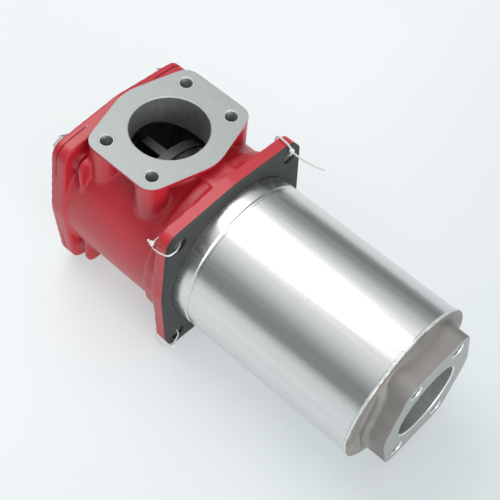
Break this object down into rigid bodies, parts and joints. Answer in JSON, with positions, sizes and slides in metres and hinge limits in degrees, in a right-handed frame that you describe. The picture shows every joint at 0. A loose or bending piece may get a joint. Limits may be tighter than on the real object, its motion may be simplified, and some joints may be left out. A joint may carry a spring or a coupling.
{
  "type": "hydraulic return filter",
  "caption": "Tank-mounted hydraulic return filter: red cast head with a bolted cover and a flanged side inlet, steel bowl tube and a flanged outlet casting at its end.",
  "frame": {"origin": "centre of the head's mounting flange, on its front seating face under the gasket", "axes": "+X along the main axis, from the cover to the outlet flange; +Z out of the inlet port; +Y completes the right-handed set"},
  "size_m": [0.3499, 0.1598, 0.1679],
  "materials": {
    "red_enamel": "gloss enamel on cast aluminium",
    "cast_aluminium": "blasted casting, faces machined",
    "bright_steel": "drawn tube, bright",
    "zinc_steel": "zinc plated",
    "spring_steel": "plated wire",
    "black_rubber": "matt",
    "filter_paper": "pleated, resin soaked",
    "brass": "turned",
    "black_plastic": "moulded, matt",
    "dark_steel": "phosphated sheet"
  },
  "bodies": {
    "housing": {"filter_head": "red_enamel", "cover_plate": "red_enamel", "cover_o_ring": "black_rubber", "cover_bolts": "zinc_steel", "cover_washers": "zinc_steel", "tank_gasket": "black_rubber", "bowl_tube": "bright_steel", "head_spigot_o_ring": "black_rubber", "outlet_flange": "cast_aluminium", "outlet_spigot_o_ring": "black_rubber", "element_top_cap": "black_plastic", "element_bridge": "dark_steel", "element_bottom_cap": "black_plastic", "element_media": "filter_paper", "element_core": "zinc_steel", "element_sleeve": "dark_steel", "element_o_ring": "black_rubber", "hold_down_spring": "spring_steel", "bypass_spring": "spring_steel", "bypass_cage": "zinc_steel", "check_spring": "spring_steel", "check_guide": "zinc_steel"},
    "bypass_valve": {"bypass_poppet": "brass", "bypass_stem_nut": "brass"},
    "check_valve": {"check_plate": "zinc_steel", "check_seal": "black_rubber", "check_stem": "zinc_steel", "check_stem_ring": "spring_steel"}
  },
  "joints": [
    {"name": "bypass_slide", "type": "slide", "parent": "housing", "child": "bypass_valve", "axis": [1, 0, 0], "range_m": [0, 0.006], "stiffness_N_per_m": 4000, "springref_m": -0.009, "deforming": ["bypass_spring"]},
    {"name": "check_slide", "type": "slide", "parent": "housing", "child": "check_valve", "axis": [1, 0, 0], "range_m": [0, 0.006], "stiffness_N_per_m": 600, "springref_m": -0.005, "deforming": ["check_spring"]}
  ]
}
